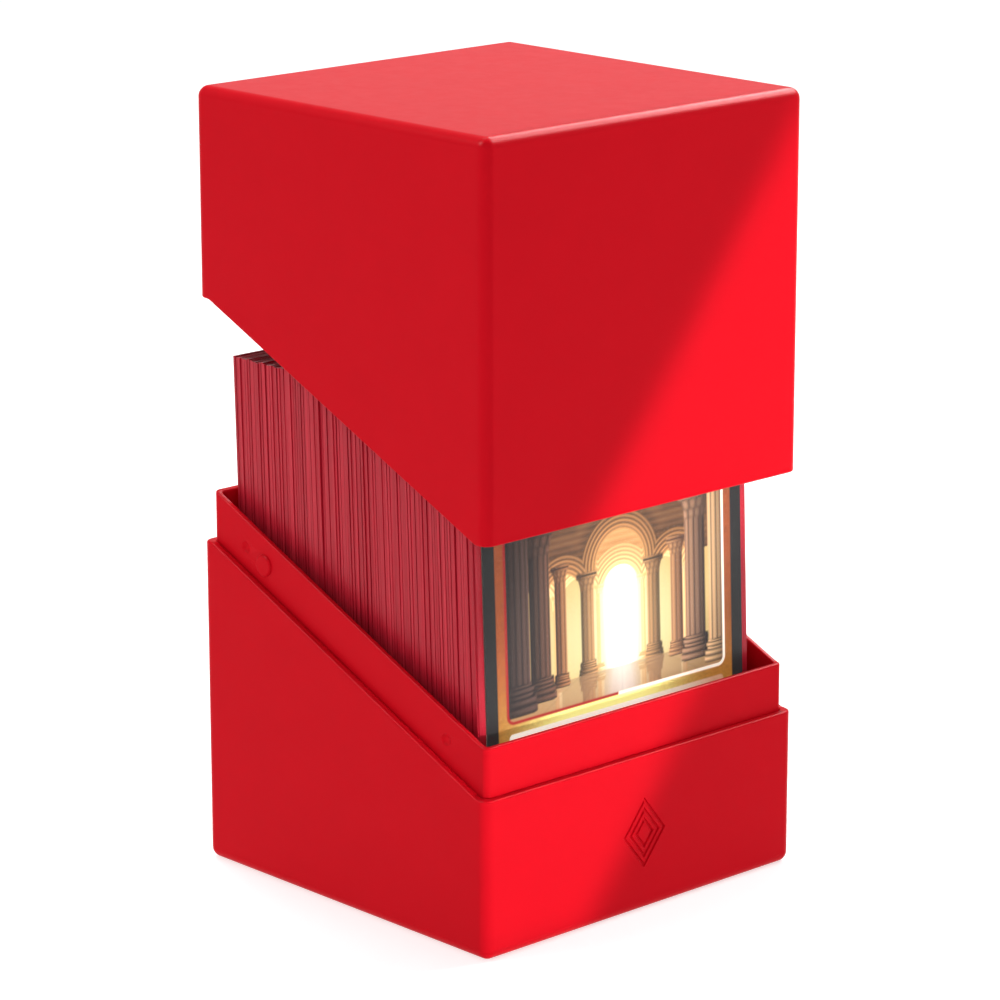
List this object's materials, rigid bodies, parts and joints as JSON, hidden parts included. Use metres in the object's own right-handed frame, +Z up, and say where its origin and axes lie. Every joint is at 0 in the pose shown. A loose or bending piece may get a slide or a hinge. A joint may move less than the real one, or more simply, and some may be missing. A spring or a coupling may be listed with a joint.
{
  "type": "card deck box",
  "caption": "Upright plastic deck box with a slanted seam: base shell, inner tray, lift-off lid and a leaning deck of sleeved cards.",
  "frame": {"origin": "middle of the underside, on the surface that the box stands on", "axes": "+Z up along the lid's travel, -Y the low front of the slanted seam, +X to the right seen from the front"},
  "size_m": [0.076, 0.075, 0.1428],
  "materials": {
    "base_plastic": "satin moulded",
    "tray_plastic": "satin moulded",
    "lid_plastic": "satin moulded",
    "sleeve_film": "fine matt film",
    "clear_film": "clear film",
    "card_stock": "coated card",
    "card_print": "printed and coated card"
  },
  "bodies": {
    "base": {"base_shell": "base_plastic", "inner_tray": "tray_plastic"},
    "deck": {"front_card": "card_print", "front_sleeve_back": "sleeve_film", "front_sleeve_window": "clear_film", "sleeves_1": "sleeve_film", "sleeves_2": "sleeve_film", "sleeves_3": "sleeve_film", "sleeves_4": "sleeve_film", "sleeves_5": "sleeve_film", "sleeves_6": "sleeve_film", "sleeves_7": "sleeve_film", "sleeves_8": "sleeve_film", "sleeves_9": "sleeve_film", "sleeves_10": "sleeve_film", "sleeves_11": "sleeve_film", "sleeves_12": "sleeve_film", "sleeves_13": "sleeve_film", "sleeves_14": "sleeve_film", "sleeves_15": "sleeve_film", "sleeves_16": "sleeve_film", "sleeves_17": "sleeve_film", "sleeves_18": "sleeve_film", "sleeves_19": "sleeve_film", "sleeves_20": "sleeve_film", "cards_1": "card_stock", "cards_2": "card_stock", "cards_3": "card_stock", "cards_4": "card_stock", "cards_5": "card_stock", "cards_6": "card_stock", "cards_7": "card_stock", "cards_8": "card_stock", "cards_9": "card_stock", "cards_10": "card_stock", "cards_11": "card_stock", "cards_12": "card_stock", "cards_13": "card_stock", "cards_14": "card_stock", "cards_15": "card_stock", "cards_16": "card_stock", "cards_17": "card_stock", "cards_18": "card_stock", "cards_19": "card_stock", "cards_20": "card_stock"},
    "lid": {"lid_shell": "lid_plastic"}
  },
  "joints": [
    {"name": "deck_slide", "type": "slide", "parent": "base", "child": "deck", "axis": [0, 0, 1], "range_m": [0, 0.075]},
    {"name": "lid_slide", "type": "slide", "parent": "deck", "child": "lid", "axis": [0, 0, 1], "range_m": [-0.0446, 0.04]}
  ]
}
